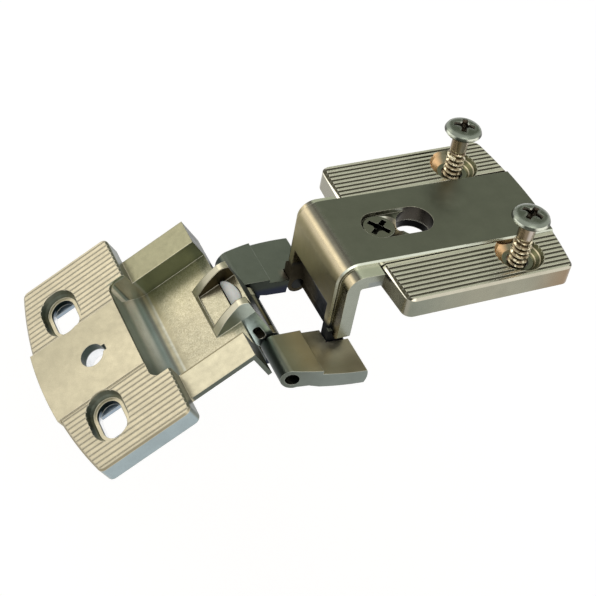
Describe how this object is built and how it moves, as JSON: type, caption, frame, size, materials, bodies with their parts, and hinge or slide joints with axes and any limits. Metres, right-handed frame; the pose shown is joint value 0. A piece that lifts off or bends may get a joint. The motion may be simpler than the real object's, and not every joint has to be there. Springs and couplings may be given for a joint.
{
  "type": "concealed cup hinge",
  "caption": "Concealed cup hinge with a ribbed mounting plate, a cranked arm, a link yoke and a door leaf that turns on a double-pivot joint.",
  "frame": {"origin": "underside of the mounting plate, midway between its two fixing holes", "axes": "+Z away from the cabinet side, along the fixing screws; +X from the crank towards the plate's free end; the pivots lie along Y"},
  "size_m": [0.1188, 0.0552, 0.0465],
  "materials": {
    "plate_nickel": "satin nickel plate on a zinc casting",
    "arm_nickel": "polished nickel plate on a zinc casting",
    "yoke_nickel": "polished nickel plate on a zinc casting",
    "leaf_nickel": "fine-grained nickel plate on a zinc casting",
    "screw_nickel": "bright nickel plate",
    "pin_steel": "dark steel",
    "spring_steel": "drawn spring wire",
    "white_nylon": "moulded nylon"
  },
  "bodies": {
    "base": {"mounting_plate": "plate_nickel", "fixing_screw_near": "screw_nickel", "fixing_screw_far": "screw_nickel"},
    "clamp": {"clamp_screw": "screw_nickel"},
    "arm": {"crank_arm": "arm_nickel"},
    "yoke": {"link_yoke": "yoke_nickel", "door_pin": "pin_steel", "arm_pin_near": "pin_steel", "arm_pin_far": "pin_steel"},
    "leaf": {"door_leaf": "leaf_nickel", "catch_spring": "spring_steel"},
    "catch": {"nylon_catch": "white_nylon", "catch_pin": "pin_steel"}
  },
  "joints": [
    {"name": "depth_slide", "type": "slide", "parent": "base", "child": "arm", "axis": [-1, 0, 0], "range_m": [0, 0.002]},
    {"name": "clamp_screw_turn", "type": "hinge", "parent": "base", "child": "clamp", "pos_m": [-0.0283, 0, 0.003], "axis": [0, 0, 1], "range_deg": [-180, 180]},
    {"name": "arm_pivot", "type": "hinge", "parent": "arm", "child": "yoke", "pos_m": [-0.041, 0, -0.0172], "axis": [0, -1, 0], "range_deg": [0, 95.1]},
    {"name": "door_pivot", "type": "hinge", "parent": "yoke", "child": "leaf", "pos_m": [-0.0555, 0, -0.01601], "axis": [0, -1, 0], "range_deg": [-125.2, 49.7]},
    {"name": "catch_press", "type": "slide", "parent": "leaf", "child": "catch", "axis": [0.5764, 0, -0.8171], "range_m": [0, 0.0015], "stiffness_N_per_m": 800, "springref_m": -0.002, "deforming": ["catch_spring"]}
  ]
}
